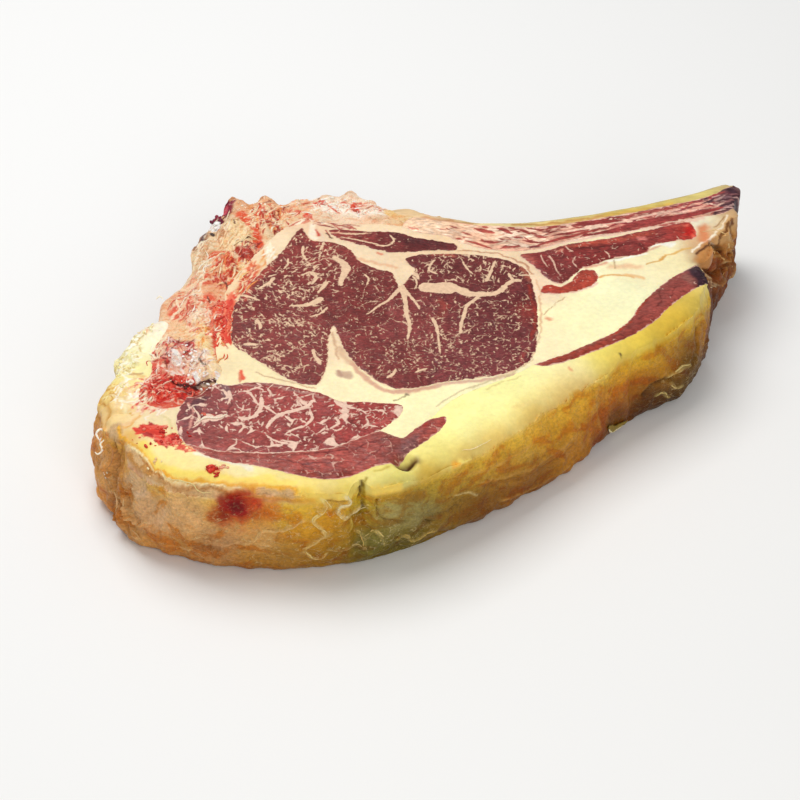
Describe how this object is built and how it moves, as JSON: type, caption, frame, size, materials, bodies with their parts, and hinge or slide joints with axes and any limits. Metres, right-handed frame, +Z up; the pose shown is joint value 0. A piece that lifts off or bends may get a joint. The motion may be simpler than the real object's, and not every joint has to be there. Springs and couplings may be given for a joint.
{
  "type": "bone-in beef rib steak",
  "caption": "Thick raw bone-in beef rib steak lying flat, with marbled lean, cream and yellow fat, a curved rib bone and a ragged chine.",
  "frame": {"origin": "middle of the steak's footprint, on the surface it lies on", "axes": "+X along the rib towards its tip, +Y from the fat edge towards the rib, +Z up out of the shown cut face"},
  "size_m": [0.3104, 0.2404, 0.0505],
  "materials": {
    "dark_lean": "moist",
    "light_lean": "moist",
    "cream_fat": "waxy",
    "yellow_fat": "waxy",
    "dry_bone": "satin",
    "sawn_bone": "rough"
  },
  "bodies": {
    "root": {"eye_muscle": "dark_lean", "inner_muscle": "dark_lean", "rib_muscle": "light_lean", "rib_muscle_tail": "light_lean", "cap_muscle": "light_lean", "strip_muscle": "light_lean", "flank_muscle": "light_lean", "rib_cover_meat": "light_lean", "inner_fat": "cream_fat", "outer_fat": "yellow_fat", "rib_bone": "dry_bone", "chine_bone": "sawn_bone"}
  },
  "joints": []
}
